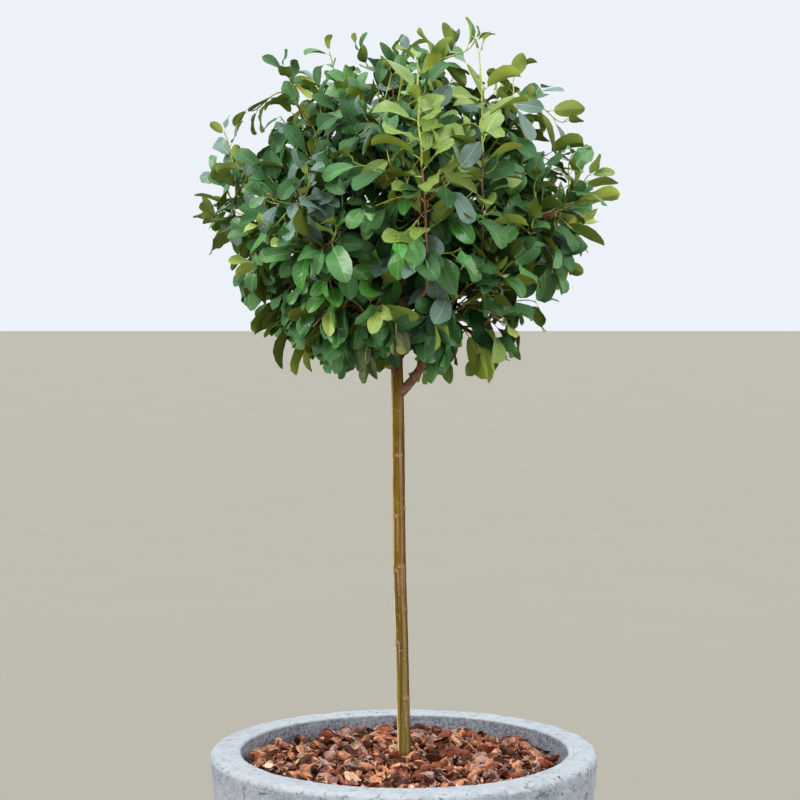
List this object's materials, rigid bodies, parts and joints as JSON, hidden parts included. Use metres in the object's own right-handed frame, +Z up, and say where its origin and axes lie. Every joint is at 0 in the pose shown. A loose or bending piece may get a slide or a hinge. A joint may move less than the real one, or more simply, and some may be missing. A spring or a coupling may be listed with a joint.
{
  "type": "standard laurel topiary in a pot",
  "caption": "Laurel trained as a standard: a loose round head of glossy leaves on a bare upright stem, in a thick-rimmed concrete planter filled with soil and mulch.",
  "frame": {"origin": "centre of the planter's flat underside", "axes": "+Z up along the stem, +X to the right seen from the front, -Y towards the front"},
  "size_m": [0.6117, 0.5832, 1.67],
  "materials": {
    "concrete": "matte",
    "soil": "matte",
    "mulch": "matte",
    "stem_bark": "satin",
    "bough_bark": "matte",
    "leaves": "satin",
    "young_leaves": "satin"
  },
  "bodies": {
    "root": {"planter": "concrete", "soil": "soil", "mulch": "mulch", "stem": "stem_bark", "bough_low_right": "bough_bark", "bough_low_front_left": "bough_bark", "bough_low_back_left": "bough_bark", "bough_left": "bough_bark", "bough_back": "bough_bark", "bough_leader": "bough_bark", "bough_front": "bough_bark", "bough_low_front_right": "bough_bark", "bough_low_back_right": "bough_bark", "bough_back_left": "bough_bark", "bough_front_left": "bough_bark", "bough_shoulder_left": "bough_bark", "bough_shoulder_right": "bough_bark", "bough_shoulder_back": "bough_bark", "bough_shoulder_front": "bough_bark", "mass_low_front_left": "leaves", "mass_low_front_right": "leaves", "mass_low_back_right": "leaves", "mass_low_back_left": "leaves", "mass_front_left": "leaves", "mass_front": "leaves", "mass_right": "leaves", "mass_back_right": "leaves", "mass_back_left": "leaves", "mass_left": "leaves", "mass_shoulder_front": "leaves", "mass_shoulder_right": "leaves", "mass_shoulder_back": "leaves", "mass_shoulder_left": "leaves", "mass_top": "leaves"}
  },
  "joints": []
}
